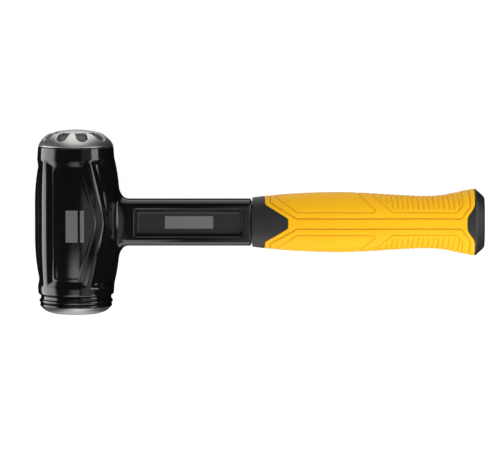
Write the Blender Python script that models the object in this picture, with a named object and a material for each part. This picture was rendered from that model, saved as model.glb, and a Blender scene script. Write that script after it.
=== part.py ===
"""Dead blow club hammer, lying on its side.

+X runs along the handle from the head to the tail, +Y runs along the striking axis towards the
scalloped crown, +Z is up. The origin is under the middle of the hammer, on the surface it lies on.
Every piece is drawn around the head's centre: x along the handle, y along the striking axis and
z out of the handle's broad side. Lengths are in metres.
"""

import math

import bmesh
import bpy
from mathutils import Matrix, Vector

GAP = 0.0003                 # room left between pieces that touch or are pressed together

# Head casing: a barrel with raised ribs around recessed panels
CASING_LENGTH = 0.0926       # along the striking axis, between the two face plugs
CASING_SHIFT = 0.0011        # how far the barrel's middle sits above the handle's middle
PANEL_RADIUS = 0.02555       # panel floor at the barrel's middle, the widest the head lies on
PANEL_DEPTH = 0.00175        # how far the ribs stand proud of the panel floors
BAND_RADIUS = 0.0240         # plain band at either end of the barrel, where it meets the belly
BAND_WIDTH = 0.0072
BAND_TAPER = 0.0005          # how much narrower the band is at the barrel's end
CROWN_BAND = 0.0076          # from the barrel's end to the panels, crown side
STRIKING_BAND = 0.0055
END_BREAK = 0.0004           # edge break at the barrel's two ends
BELLY_FLAT = 0.0100          # half length of the belly's straight stretch, which the head lies on
BULGE_POWER = 2.2            # how gently the belly curves away from it
RIB_WIDTH = 0.0024
WALL_RUN = 0.0050            # width of the sloping wall between a rib and its panel floor
SIDE_WALL_RUN = 0.0030       # the same on the side panels' edge at the V rib
SPINE_WALL_RUN = 0.0025      # and at the spine
LEAST_PANEL = math.radians(0.6)   # a side panel is never narrower than this
POLL_RIB_X = -0.0187         # the straight rib between the broad panel and the poll panel
V_RIB_TIP_X = 0.0184         # where the V rib points at the handle
V_RIB_BLUNT = 0.0010         # how much is taken off the V's sharp tip
V_RIB_END_X = 0.0083         # where its two arms meet the ends of the panels
SPINE_ANGLE = math.radians(67)   # the raised spine over the neck starts here

# Face plugs
CROWN_RADIUS = 0.0233
CROWN_HEIGHT = 0.0103
CROWN_TOP_RADIUS = 0.0159
CROWN_DOME = 0.0021
CROWN_FLAT_RADIUS = 0.0070
SCALLOPS = 9
SCALLOP_WIDTH = 0.0078
SCALLOP_DEPTH = 0.0016
SCALLOP_REACH = 0.0053       # how far a scallop runs down the crown's cone
CONE_BULGE = 0.0009          # how far the plugs' cones stand out at their middle
STRIKER_RADIUS = 0.0229
STRIKER_HEIGHT = 0.0116
STRIKER_RING_HEIGHT = 0.0060
STRIKER_FACE_RADIUS = 0.0146
NECK_GROOVE = 0.0011         # depth of the turned groove above the striking ring

# Shot and what holds it
SHOT_DIAMETER = 0.0110
SHOT_SPACING = 0.0004        # room between one shot and the next
SHOT_LAYERS = 5
SHOTS_PER_LAYER = 4
SHOT_TRAVEL = 0.0075         # how far the charge slides from one end of its canister to the other
CANISTER_WALL = 0.0012
CANISTER_LID = 0.0020
BUMPER_THICKNESS = 0.0025
LOCK_WIRE = 0.0016           # diameter of the wire rings that hold the plugs

# Neck, shank and tang
SHANK_END = 0.1093           # from the head's centre to the shoulder at the handle
SHANK_HEIGHT = 0.0287
SHANK_THICKNESS = 0.0190
SHANK_ROUND = 0.0025
END_ROUND = 0.0009           # edge break at the shoulder, the collar and the plugs' inner ends
NECK_HEIGHT = 0.0520          # the flare's section where it leaves the barrel
NECK_THICKNESS = 0.0300
NECK_ROUND = 0.0130
NECK_SINK = 0.0053           # how far inside the barrel's belly the flare starts
NECK_RUN = 0.0145            # length of the flare from there to the shank
RECESS_LENGTH = 0.0686
RECESS_HEIGHT = 0.0185
RECESS_DEPTH = 0.0030
RECESS_SLOPE = 0.0034
RECESS_END = 0.0050          # from the recess to the shoulder
TANG_HEIGHT = 0.0160
TANG_THICKNESS = 0.0085
TANG_CLEAR = 0.0050          # from the tang's end to the end cap's spigot

# Handle
SHOULDER_GAP = 0.0006        # the thin dark line between shank and collar
GRIP_LENGTH = 0.14455        # from the collar's front face to the tail
GRIP_POWER = 2.6             # how square the oval section is
COLLAR_LENGTH = 0.0078
COLLAR_TONGUE = 0.0144       # length of the tongue past the collar
COLLAR_TONGUE_ROOT = 0.0119  # half height where the tongue leaves the collar
COLLAR_TONGUE_TIP = 0.0040
SLEEVE_WALL = 0.0030
CAP_LENGTH = 0.0069          # from the tail to the cap's edge at the handle's outline
CAP_TONGUE = 0.0036
CAP_TONGUE_ROOT = 0.0104
CAP_TONGUE_TIP = 0.0042
SPIGOT_RADIUS = 0.0060
SPIGOT_LENGTH = 0.0110
PIN_RADIUS = 0.0025
CAP_PIN_RADIUS = 0.0015
FRONT_PIN = 0.0310           # from the collar's front face
REAR_PIN = 0.0180            # from the tang's end
# Handle outline: (share of the grip's length, half height, half thickness)
GRIP_OUTLINE = [
    (0.000, 0.0150, 0.0112),
    (0.055, 0.0159, 0.0122),
    (0.160, 0.0173, 0.0138),
    (0.290, 0.0182, 0.0147),
    (0.385, 0.01835, 0.0149),
    (0.505, 0.0177, 0.0146),
    (0.640, 0.0165, 0.0139),
    (0.750, 0.01585, 0.0135),
    (0.810, 0.0163, 0.0137),
    (0.875, 0.0181, 0.0147),
    (0.940, 0.02005, 0.0160),
    (0.963, 0.02045, 0.0163),
]
TAIL_OUTLINE = [(0.9935, 0.0157, 0.0118), (1.000, 0.0135, 0.0096)]

# What follows from them
BARREL_RADIUS = PANEL_RADIUS + PANEL_DEPTH
CASING_TOP = CASING_SHIFT + CASING_LENGTH / 2
CASING_BOTTOM = CASING_SHIFT - CASING_LENGTH / 2
SHOT_RING = (SHOT_DIAMETER + SHOT_SPACING) / (2 * math.sin(math.pi / SHOTS_PER_LAYER))
LAYER_STEP = math.sqrt(
    (SHOT_DIAMETER + SHOT_SPACING) ** 2
    - (2 * SHOT_RING * math.sin(math.pi / SHOTS_PER_LAYER / 2)) ** 2
)
CHAMBER_RADIUS = SHOT_RING + SHOT_DIAMETER / 2 + GAP
CHARGE_LENGTH = (SHOT_LAYERS - 1) * LAYER_STEP + SHOT_DIAMETER
CHAMBER_LENGTH = CHARGE_LENGTH + SHOT_TRAVEL + 2 * GAP
CANISTER_RADIUS = CHAMBER_RADIUS + CANISTER_WALL
BORE_RADIUS = CANISTER_RADIUS + GAP
PLUG_DEPTH = (CASING_LENGTH - CHAMBER_LENGTH) / 2 - CANISTER_LID - BUMPER_THICKNESS - 2 * GAP
GRIP_START = SHANK_END + SHOULDER_GAP
TAIL_END = GRIP_START + GRIP_LENGTH
CAP_EDGE = TAIL_END - CAP_LENGTH
CORE_END = CAP_EDGE - CAP_TONGUE - GAP
TANG_END = CORE_END - SPIGOT_LENGTH - TANG_CLEAR
HEAD_CENTRE = Vector((
    (PANEL_RADIUS - TAIL_END) / 2,
    (STRIKER_HEIGHT - CROWN_HEIGHT) / 2 - CASING_SHIFT,
    PANEL_RADIUS,
))

ROUND_STEPS = 48
NECK_STEPS = 7
LARGE = 0.2                  # bigger than the hammer's cross-section, for cutters
OVERRUN = 0.01               # how far a cutter runs past the face that it opens
RING_SPACING = 0.001         # sections of the handle are at least this far apart


def material(name, colour, roughness, metallic):
    """One plain finish."""
    mat = bpy.data.materials.new(name)
    mat.use_nodes = True
    shader = mat.node_tree.nodes["Principled BSDF"]
    shader.inputs["Base Color"].default_value = (*colour, 1.0)
    shader.inputs["Roughness"].default_value = roughness
    shader.inputs["Metallic"].default_value = metallic
    return mat


def add_object(name, bm, mat=None, parent=None, place=HEAD_CENTRE):
    """Turns a bmesh into an object of the scene, drawn around the head's centre."""
    bmesh.ops.remove_doubles(bm, verts=bm.verts, dist=1e-7)
    bmesh.ops.recalc_face_normals(bm, faces=bm.faces)
    mesh = bpy.data.meshes.new(name)
    bm.to_mesh(mesh)
    bm.free()
    if mat:
        mesh.materials.append(mat)
        mesh.shade_smooth()
        mesh.set_sharp_from_angle(angle=math.radians(30))
    obj = bpy.data.objects.new(name, mesh)
    obj.location = place
    obj.parent = parent
    bpy.context.scene.collection.objects.link(obj)
    return obj


def cutter(name, bm):
    """A guide solid for a Boolean, which isn't part of the hammer."""
    obj = add_object(name, bm)
    obj.hide_render = True
    obj.display_type = "WIRE"
    return obj


def boolean(obj, other, operation):
    """Adds one exact Boolean to a piece."""
    mod = obj.modifiers.new(other.name, "BOOLEAN")
    mod.operation = operation
    mod.solver = "EXACT"
    mod.object = other


def skin(rings):
    """A closed solid through rings of points, each ring with the same number of points."""
    bm = bmesh.new()
    bmesh.ops.create_circle(bm, cap_ends=True, radius=1.0, segments=len(rings[0]))
    bm.faces.ensure_lookup_table()
    face = bm.faces[0]
    for number, ring in enumerate(rings):
        if number:
            old = face
            made = bmesh.ops.extrude_face_region(bm, geom=[old])["geom"]
            face = next(item for item in made if isinstance(item, bmesh.types.BMFace))
            if number > 1 and old.is_valid:
                bmesh.ops.delete(bm, geom=[old], context="FACES_ONLY")
        for loop, point in zip(face.loops, ring):
            loop.vert.co = point
    return bm


def turned(profile, steps=ROUND_STEPS):
    """Spins a closed outline of (radius, height) points around the striking axis."""
    bm = bmesh.new()
    verts = [bm.verts.new((radius, height, 0.0)) for radius, height in profile]
    edges = [bm.edges.new(pair) for pair in zip(verts, verts[1:] + verts[:1])]
    bmesh.ops.spin(
        bm, geom=verts + edges, cent=(0, 0, 0), axis=(0, 1, 0), angle=2 * math.pi,
        steps=steps, use_merge=True,
    )
    bmesh.ops.remove_doubles(bm, verts=bm.verts, dist=1e-7)
    bmesh.ops.dissolve_degenerate(bm, edges=bm.edges, dist=1e-7)
    on_axis = [e for e in bm.edges if all(Vector((v.co.x, v.co.z)).length < 1e-6 for v in e.verts)]
    bmesh.ops.delete(bm, geom=on_axis, context="EDGES")
    return bm


def rod(radius, start, end, axis="Z", steps=24):
    """A round bar between two points of one axis through the origin."""
    bm = bmesh.new()
    bmesh.ops.create_cone(
        bm, cap_ends=True, segments=steps, radius1=radius, radius2=radius, depth=end - start
    )
    bmesh.ops.translate(bm, verts=bm.verts, vec=(0, 0, (start + end) / 2))
    if axis == "X":
        bmesh.ops.rotate(bm, verts=bm.verts, matrix=Matrix.Rotation(math.radians(90), 3, "Y"))
    return bm


def moved(bm, x=0.0, y=0.0, z=0.0):
    """Shifts a whole bmesh."""
    bmesh.ops.translate(bm, verts=bm.verts, vec=(x, y, z))
    return bm


def block(x_range, height, thickness):
    """A rectangular bar along the handle."""
    bm = bmesh.new()
    bmesh.ops.create_cube(bm, size=1.0)
    bmesh.ops.scale(bm, verts=bm.verts, vec=(x_range[1] - x_range[0], height, thickness))
    return moved(bm, x=sum(x_range) / 2)


def outline_prism(points):
    """A solid of one outline in the handle's broad plane, taller than the hammer is thick."""
    low = [Vector((x, y, -LARGE / 2)) for x, y in points]
    return skin([low, [point + Vector((0, 0, LARGE)) for point in low]])


def smooth_value(table, column, at):
    """Reads a column of an outline at a share of its length, with no corner at the points."""
    last = len(table) - 1
    at = min(max(at, table[0][0]), table[last][0])
    index = max(i for i in range(last) if table[i][0] <= at)
    start, end = table[index], table[index + 1]

    def slope(i):
        low, high = table[max(i - 1, 0)], table[min(i + 1, last)]
        return (high[column] - low[column]) / (high[0] - low[0])

    span = end[0] - start[0]
    t = (at - start[0]) / span
    return (
        start[column] * (2 * t**3 - 3 * t**2 + 1)
        + slope(index) * span * (t**3 - 2 * t**2 + t)
        + end[column] * (3 * t**2 - 2 * t**3)
        + slope(index + 1) * span * (t**3 - t**2)
    )


# ---------------------------------------------------------------- head casing


def barrel_radius(y):
    """Radius over the ribs, y along the striking axis from the barrel's middle."""
    reach = CASING_LENGTH / 2 - BAND_WIDTH
    if abs(y) > reach:
        return BAND_RADIUS - BAND_TAPER * (abs(y) - reach) / BAND_WIDTH
    share = max(abs(y) - BELLY_FLAT, 0.0) / (reach - BELLY_FLAT)
    return BARREL_RADIUS - (BARREL_RADIUS - BAND_RADIUS) * share ** BULGE_POWER


def v_rib_x(y):
    """How far along the handle the V rib's middle stands."""
    reach = CASING_LENGTH / 2 - STRIKING_BAND
    sharp_tip = V_RIB_TIP_X + V_RIB_BLUNT
    return min(V_RIB_TIP_X, sharp_tip - (sharp_tip - V_RIB_END_X) * abs(y) / reach)


def barrel_columns(y):
    """(angle from the broad side towards the handle, rib share) of each column at one height."""
    radius = barrel_radius(y)

    def angle(x):
        return math.asin(x / radius)

    half_rib = RIB_WIDTH / 2 / radius
    run = WALL_RUN / radius
    poll_rib, v_rib = angle(POLL_RIB_X), angle(v_rib_x(y))
    broad_from, broad_to = poll_rib + half_rib + run, v_rib - half_rib - run
    poll_edge = poll_rib - half_rib - run
    side_from = v_rib + half_rib + SIDE_WALL_RUN / radius
    side_to = max(SPINE_ANGLE - SPINE_WALL_RUN / radius, side_from + LEAST_PANEL)
    spine = max(SPINE_ANGLE, side_to + LEAST_PANEL)
    right_angle = math.pi / 2
    half = [
        (-right_angle, 0),
        ((poll_edge - right_angle) / 2, 0),
        (poll_edge, 0),
        (poll_rib - half_rib, 1),
        (poll_rib + half_rib, 1),
        (broad_from, 0),
        (broad_from / 2, 0),
        (0.0, 0),
        (broad_to / 2, 0),
        (broad_to, 0),
        (v_rib - half_rib, 1),
        (v_rib + half_rib, 1),
        (side_from, 0),
        (side_to, 0),
        (spine, 1),
        ((spine + right_angle) / 2, 1),
        (right_angle, 1),
    ]
    back = [(math.pi - angle, share) for angle, share in half[-2:0:-1]]
    return half + back


def barrel_ring(y, panels):
    """One ring of the barrel. panels is 1 where the panels are sunk and 0 on the plain bands."""
    top = barrel_radius(y)
    if abs(y) > CASING_LENGTH / 2 - END_BREAK / 2:
        top -= END_BREAK
    ring = []
    for angle, share in barrel_columns(y):
        radius = top - PANEL_DEPTH * (1 - share) * panels
        ring.append(Vector((radius * math.sin(angle), y + CASING_SHIFT, radius * math.cos(angle))))
    return ring


def barrel_solid():
    """The barrel with its ribs and sunken panels."""
    end = CASING_LENGTH / 2
    stations = []
    for side, band in ((-1, STRIKING_BAND), (1, CROWN_BAND)):
        edge = end - band
        floor = edge - WALL_RUN
        half = [(side * y, 0) for y in (end, end - END_BREAK, edge)]
        half += [(side * floor * share, 1) for share in (1, 0.82, 0.62, 0.42, 0.25, 0.12)]
        stations += half if side < 0 else [(0.0, 1)] + half[::-1]
    return skin([barrel_ring(y, panels) for y, panels in stations])


def rounded_section(x, height, thickness, round_radius=SHANK_ROUND):
    """A rectangle across the handle with its four corners rounded."""
    ring = []
    for corner in range(4):
        side_y = 1 if corner in (0, 3) else -1
        side_z = 1 if corner in (0, 1) else -1
        middle = Vector((
            x,
            side_y * (height / 2 - round_radius),
            side_z * (thickness / 2 - round_radius),
        ))
        for step in range(4):
            turn = math.radians(90 * corner + 30 * step)
            ring.append(middle + round_radius * Vector((0, math.cos(turn), math.sin(turn))))
    return ring


def shank_solid():
    """Neck flare, shank and tang, from inside the barrel to the tang's end."""
    rings = []
    start = BARREL_RADIUS - NECK_SINK
    for step in range(NECK_STEPS + 1):
        share = step / NECK_STEPS
        fall = 1 - math.sqrt(1 - (1 - share) ** 2)
        height = SHANK_HEIGHT + (NECK_HEIGHT - SHANK_HEIGHT) * fall
        thickness = SHANK_THICKNESS + (NECK_THICKNESS - SHANK_THICKNESS) * fall
        corner = SHANK_ROUND + (NECK_ROUND - SHANK_ROUND) * fall
        rings.append(rounded_section(start + NECK_RUN * share, height, thickness, corner))
    inside = rounded_section(start - NECK_SINK, NECK_HEIGHT / 2, NECK_THICKNESS / 2)
    rings.append(rounded_section(SHANK_END - END_ROUND, SHANK_HEIGHT, SHANK_THICKNESS))
    rings.append(rounded_section(
        SHANK_END, SHANK_HEIGHT - 2 * END_ROUND, SHANK_THICKNESS - 2 * END_ROUND
    ))
    tang = [
        rounded_section(x, TANG_HEIGHT, TANG_THICKNESS, END_ROUND) for x in (SHANK_END, TANG_END)
    ]
    return skin([inside] + rings + tang)


def recess_cutter(side):
    """The sloping-sided recess in one broad side of the shank."""
    middle = SHANK_END - RECESS_END - RECESS_LENGTH / 2
    rings = []
    for depth, grow in ((RECESS_DEPTH, -1.0), (-RECESS_DEPTH, 1.0)):
        length = RECESS_LENGTH - RECESS_SLOPE + grow * RECESS_SLOPE
        height = RECESS_HEIGHT - RECESS_SLOPE + grow * RECESS_SLOPE
        radius = SHANK_ROUND if grow > 0 else SHANK_ROUND / 2
        flat = rounded_section(0.0, height, length, radius)
        level = side * (SHANK_THICKNESS / 2 - depth)
        rings.append([Vector((middle + point.z, point.y, level)) for point in flat])
    return skin(rings)


def build_casing(paint):
    """The forged head casing with its neck, shank and tang in one piece."""
    casing = add_object("head_casing", barrel_solid(), paint)
    boolean(casing, cutter("shank_form", shank_solid()), "UNION")
    for side, label in ((1, "front"), (-1, "back")):
        boolean(casing, cutter(f"recess_{label}", recess_cutter(side)), "DIFFERENCE")
    boolean(casing, cutter("through_bore", bore_solid()), "DIFFERENCE")
    for label, x, radius in handle_pins()[:2]:
        hole = moved(rod(radius + GAP, -LARGE / 2, LARGE / 2), x=x)
        boolean(casing, cutter(f"tang_hole_{label}", hole), "DIFFERENCE")


def bore_solid():
    """The bore right through the barrel, with the two grooves for the lock wires."""
    wall = groove_outline(BORE_RADIUS, striking_wire_level(), 1)
    wall += groove_outline(BORE_RADIUS, crown_wire_level(), 1)
    ends = [(BORE_RADIUS, -LARGE / 2)] + wall + [(BORE_RADIUS, LARGE / 2)]
    return turned([(0.0, -LARGE / 2)] + ends + [(0.0, LARGE / 2)])


# ---------------------------------------------------------------- face plugs


def crown_wire_level():
    """Height of the wire ring that holds the crown plug."""
    return CASING_TOP - PLUG_DEPTH / 2


def striking_wire_level():
    """Height of the wire ring that holds the striking plug."""
    return CASING_BOTTOM + PLUG_DEPTH / 2


def groove_outline(wall, level, side):
    """Four points of a square groove for a lock wire, out of the wall or, with side -1, into it."""
    half = LOCK_WIRE / 2 + GAP
    floor = BORE_RADIUS - GAP / 2 + side * half
    return [(wall, level - half), (floor, level - half), (floor, level + half), (wall, level + half)]


def lock_wire(level, sides=6):
    """A wire ring on the boundary between bore and plug."""
    profile = []
    for side in range(sides):
        turn = 2 * math.pi * side / sides
        profile.append((
            BORE_RADIUS - GAP / 2 + LOCK_WIRE / 2 * math.cos(turn),
            level + LOCK_WIRE / 2 * math.sin(turn),
        ))
    return turned(profile)


def cone_outline(start, end):
    """(radius, height) at the start, at the bulged middle and at the end of a plug's cone."""
    start, end = Vector(start), Vector(end)
    out = (end - start).orthogonal().normalized()
    if out.x < 0:
        out.negate()
    return [start, (start + end) / 2 + out * CONE_BULGE, end]


def crown_cone():
    """The crown's cone, from its foot up to its shoulder."""
    foot = (CROWN_RADIUS, CASING_TOP + 2 * GAP)
    return cone_outline(foot, (CROWN_TOP_RADIUS, CASING_TOP + CROWN_HEIGHT - CROWN_DOME))


def scallop_cutter(number):
    """A round pocket sunk square into the crown's cone and open to its top."""
    _, middle, top = crown_cone()
    fall = (middle - top).normalized()
    out = Vector((-fall.y, fall.x))
    reach = SCALLOP_REACH - SCALLOP_WIDTH / 2
    floor = top + fall * reach - out * SCALLOP_DEPTH
    bm = rod(SCALLOP_WIDTH / 2, 0.0, SCALLOP_WIDTH, steps=20)
    lean = Vector((0, 0, 1)).rotation_difference(Vector((out.x, out.y, 0)))
    bmesh.ops.rotate(bm, verts=bm.verts, matrix=lean.to_matrix())
    moved(bm, x=floor.x, y=floor.y)
    turn = 2 * math.pi * number / SCALLOPS
    bmesh.ops.rotate(bm, verts=bm.verts, matrix=Matrix.Rotation(turn, 3, "Y"))
    return bm


def plug_spigot(end, inward, level):
    """Outline of the part of a plug that goes into the bore, from its axis out to the flange."""
    inner = end + inward * (PLUG_DEPTH - GAP)
    groove = groove_outline(CANISTER_RADIUS, level, -1)
    return (
        [(0.0, inner), (CANISTER_RADIUS - END_ROUND, inner)]
        + [(CANISTER_RADIUS, inner - inward * END_ROUND)]
        + (groove if inward < 0 else groove[::-1])
        + [(CANISTER_RADIUS, end - inward * GAP)]
    )


def build_crown(steel):
    """The scalloped crown plug."""
    top = CASING_TOP + CROWN_HEIGHT
    profile = plug_spigot(CASING_TOP, -1, crown_wire_level()) + [
        (CROWN_RADIUS - GAP, CASING_TOP + GAP),
        *crown_cone(),
        ((CROWN_TOP_RADIUS + CROWN_FLAT_RADIUS) / 2, top - CROWN_DOME * 0.28),
        (CROWN_FLAT_RADIUS, top),
        (0.0, top),
    ]
    crown = add_object("crown_plug", turned(profile), steel)
    for number in range(SCALLOPS):
        name = f"scallop_{number + 1}"
        boolean(crown, cutter(name, scallop_cutter(number)), "DIFFERENCE")


def build_striker(steel):
    """The plain striking plug with its turned ring."""
    seat = CASING_BOTTOM - GAP
    face = CASING_BOTTOM - STRIKER_HEIGHT
    ring_end = CASING_BOTTOM - STRIKER_RING_HEIGHT
    profile = plug_spigot(CASING_BOTTOM, 1, striking_wire_level()) + [
        (STRIKER_RADIUS - NECK_GROOVE, seat),
        (STRIKER_RADIUS - NECK_GROOVE, seat - NECK_GROOVE / 2),
        (STRIKER_RADIUS, seat - NECK_GROOVE * 1.8),
        *cone_outline((STRIKER_RADIUS, ring_end), (STRIKER_FACE_RADIUS, face)),
        (0.0, face),
    ]
    add_object("striking_plug", turned(profile), steel)


# ---------------------------------------------------------------- shot and canister


def disc(radius, low, high):
    """A plain round plate across the bore."""
    return turned([(0.0, low), (radius, low), (radius, high), (0.0, high)])


def build_canister(steel, urethane, spring_steel):
    """The shot canister, its lids, the pads behind it and the plugs' wire rings."""
    half = CHAMBER_LENGTH / 2
    low, high = CASING_SHIFT - half, CASING_SHIFT + half
    tube = [(CHAMBER_RADIUS, low), (CANISTER_RADIUS, low), (CANISTER_RADIUS, high),
            (CHAMBER_RADIUS, high)]
    add_object("canister_tube", turned(tube), steel)
    lid = high + GAP
    add_object("canister_lid_crown", disc(CANISTER_RADIUS, lid, lid + CANISTER_LID - GAP), steel)
    pad = high + CANISTER_LID + GAP
    add_object("bumper_pad_crown", disc(CANISTER_RADIUS, pad, pad + BUMPER_THICKNESS), urethane)
    lid = low - GAP
    add_object("canister_lid_striking", disc(CANISTER_RADIUS, lid - CANISTER_LID + GAP, lid), steel)
    pad = low - CANISTER_LID - GAP
    add_object("bumper_pad_striking", disc(CANISTER_RADIUS, pad - BUMPER_THICKNESS, pad), urethane)
    add_object("crown_lock_wire", lock_wire(crown_wire_level()), spring_steel)
    add_object("striking_lock_wire", lock_wire(striking_wire_level()), spring_steel)


def build_shot(steel):
    """Staggered layers of round shot, resting at the striking end, all on one slide."""
    slide = bpy.data.objects.new("shot_slide", None)
    slide.location = HEAD_CENTRE + Vector((0, CASING_SHIFT, 0))
    bpy.context.scene.collection.objects.link(slide)
    first = -CHAMBER_LENGTH / 2 + GAP + SHOT_DIAMETER / 2
    for layer in range(SHOT_LAYERS):
        for number in range(SHOTS_PER_LAYER):
            turn = 2 * math.pi * (number + layer / 2) / SHOTS_PER_LAYER
            place = (
                SHOT_RING * math.sin(turn),
                first + layer * LAYER_STEP,
                SHOT_RING * math.cos(turn),
            )
            bm = bmesh.new()
            bmesh.ops.create_uvsphere(bm, u_segments=10, v_segments=7, radius=SHOT_DIAMETER / 2)
            name = f"shot_{layer * SHOTS_PER_LAYER + number + 1:02d}"
            add_object(name, bm, steel, slide, place)


# ---------------------------------------------------------------- handle


def grip_ring(x, shrink=0.0, steps=28):
    """An oval section of the handle, x from the head's centre."""
    share = (x - GRIP_START) / GRIP_LENGTH
    table = GRIP_OUTLINE if share <= GRIP_OUTLINE[-1][0] else TAIL_OUTLINE
    height = smooth_value(table, 1, share) - shrink
    thickness = smooth_value(table, 2, share) - shrink
    ring = []
    for step in range(steps):
        turn = 2 * math.pi * step / steps
        bulge = abs(math.cos(turn)) ** GRIP_POWER + abs(math.sin(turn)) ** GRIP_POWER
        reach = bulge ** (-1 / GRIP_POWER)
        ring.append(Vector((
            x, height * reach * math.cos(turn), thickness * reach * math.sin(turn)
        )))
    return ring


def grip_solid(start, end, shrink=0.0):
    """The handle's outer form between two places, sunk by a wall's thickness if shrink is given."""
    places = [GRIP_START + GRIP_LENGTH * row[0] for row in GRIP_OUTLINE + TAIL_OUTLINE]
    middles = [(low + high) / 2 for low, high in zip(places, places[1:-2])]
    inside = [x for x in sorted(places + middles) if start + RING_SPACING < x < end - RING_SPACING]
    rings = [grip_ring(x, shrink) for x in [start] + inside + [end]]
    if shrink == 0.0 and start == GRIP_START:
        rings[0] = grip_ring(start, END_ROUND)
        rings.insert(1, grip_ring(start + END_ROUND))
    return skin(rings)


def collar_prism(grow=0.0):
    """Outline of the collar and its tongue, seen on the broad side."""
    edge = GRIP_START + COLLAR_LENGTH + grow
    tip = edge + COLLAR_TONGUE
    return outline_prism([
        (GRIP_START - OVERRUN, -LARGE / 2),
        (edge, -LARGE / 2),
        (edge, -COLLAR_TONGUE_ROOT - grow / 2),
        (tip, -COLLAR_TONGUE_TIP - grow / 2),
        (tip, COLLAR_TONGUE_TIP + grow / 2),
        (edge, COLLAR_TONGUE_ROOT + grow / 2),
        (edge, LARGE / 2),
        (GRIP_START - OVERRUN, LARGE / 2),
    ])


def cap_prism(grow=0.0):
    """Outline of the end cap and its tongue, seen on the broad side."""
    edge = CAP_EDGE - grow
    tip = edge - CAP_TONGUE
    return outline_prism([
        (TAIL_END + OVERRUN, -LARGE / 2),
        (TAIL_END + OVERRUN, LARGE / 2),
        (edge, LARGE / 2),
        (edge, CAP_TONGUE_ROOT + grow / 2),
        (tip, CAP_TONGUE_TIP + grow / 2),
        (tip, -CAP_TONGUE_TIP - grow / 2),
        (edge, -CAP_TONGUE_ROOT - grow / 2),
        (edge, -LARGE / 2),
    ])


def core_half_thickness(x):
    """Half the handle core's thickness at one place."""
    return max(point.z for point in grip_ring(x, SLEEVE_WALL))


def build_core(nylon):
    """The nylon core around the tang, with the collar and tongues that show at the front."""
    core = add_object("handle_core", grip_solid(GRIP_START, TAIL_END), nylon)
    boolean(core, cutter("collar_outline", collar_prism()), "INTERSECT")
    body = grip_solid(GRIP_START + COLLAR_LENGTH / 2, CORE_END, SLEEVE_WALL)
    boolean(core, cutter("core_form", body), "UNION")
    slot = block(
        (GRIP_START - OVERRUN, TANG_END + GAP), TANG_HEIGHT + 2 * GAP, TANG_THICKNESS + 2 * GAP
    )
    boolean(core, cutter("tang_slot", slot), "DIFFERENCE")
    socket = rod(SPIGOT_RADIUS + GAP, CORE_END - SPIGOT_LENGTH - GAP, TAIL_END, axis="X", steps=32)
    boolean(core, cutter("cap_socket", socket), "DIFFERENCE")
    for label, x, radius in handle_pins():
        hole = moved(rod(radius + GAP, -LARGE / 2, LARGE / 2), x=x)
        boolean(core, cutter(f"core_hole_{label}", hole), "DIFFERENCE")


def handle_pins():
    """(name, place along the handle, radius) of the three cross pins."""
    return (
        ("front", GRIP_START + FRONT_PIN, PIN_RADIUS),
        ("rear", TANG_END - REAR_PIN, PIN_RADIUS),
        ("cap", CORE_END - SPIGOT_LENGTH / 2, CAP_PIN_RADIUS),
    )


def build_pins(spring_steel):
    """The cross pins that hold the core to the tang and the cap to the core."""
    for label, x, radius in handle_pins():
        half = core_half_thickness(x) - 2 * GAP
        add_object(f"{label}_cross_pin", moved(rod(radius, -half, half), x=x), spring_steel)


def build_sleeve(rubber):
    """The soft grip sleeve over the core."""
    sleeve = add_object("grip_sleeve", grip_solid(GRIP_START, TAIL_END), rubber)
    boolean(sleeve, cutter("collar_room", collar_prism(GAP)), "DIFFERENCE")
    boolean(sleeve, cutter("cap_room", cap_prism(GAP)), "DIFFERENCE")
    cavity = grip_solid(GRIP_START + COLLAR_LENGTH / 3, TAIL_END - CAP_LENGTH / 2, SLEEVE_WALL - GAP)
    boolean(sleeve, cutter("core_room", cavity), "DIFFERENCE")


def build_cap(nylon):
    """The hard end cap with the spigot that goes into the core."""
    cap = add_object("end_cap", grip_solid(GRIP_START, TAIL_END), nylon)
    boolean(cap, cutter("cap_outline", cap_prism()), "INTERSECT")
    spigot = rod(SPIGOT_RADIUS, CORE_END - SPIGOT_LENGTH, CAP_EDGE + CAP_LENGTH / 2, axis="X", steps=32)
    boolean(cap, cutter("cap_spigot", spigot), "UNION")
    _, x, radius = handle_pins()[2]
    hole = moved(rod(radius + GAP, -LARGE / 2, LARGE / 2), x=x)
    boolean(cap, cutter("cap_hole", hole), "DIFFERENCE")


def build_hammer():
    """Clears the scene and builds every piece."""
    for obj in list(bpy.data.objects):
        bpy.data.objects.remove(obj)
    paint = material("black_paint", (0.007, 0.008, 0.008), 0.22, 0.0)
    steel = material("ground_steel", (0.45, 0.45, 0.44), 0.38, 1.0)
    tube_steel = material("drawn_tube_steel", (0.40, 0.40, 0.41), 0.45, 1.0)
    shot_steel = material("shot_steel", (0.30, 0.31, 0.33), 0.30, 1.0)
    spring_steel = material("spring_steel", (0.22, 0.23, 0.26), 0.35, 1.0)
    urethane = material("urethane", (0.30, 0.05, 0.03), 0.60, 0.0)
    nylon = material("black_nylon", (0.028, 0.028, 0.030), 0.55, 0.0)
    yellow = material("yellow_rubber", (0.98, 0.51, 0.014), 0.62, 0.0)
    build_casing(paint)
    build_crown(steel)
    build_striker(steel)
    build_canister(tube_steel, urethane, spring_steel)
    build_shot(shot_steel)
    build_core(nylon)
    build_pins(spring_steel)
    build_sleeve(yellow)
    build_cap(nylon)


build_hammer()
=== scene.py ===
"""Looks of a steel club hammer with a shot-filled head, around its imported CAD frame.

Every piece is drawn in millimetres around the head's centre: x along the handle towards the tail,
y along the striking axis towards the scalloped crown, z out of the handle's broad side. add_piece
puts it in its place in the frame.
"""

import math

import bmesh
import bpy
import numpy as np
from mathutils import Matrix, Vector


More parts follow.
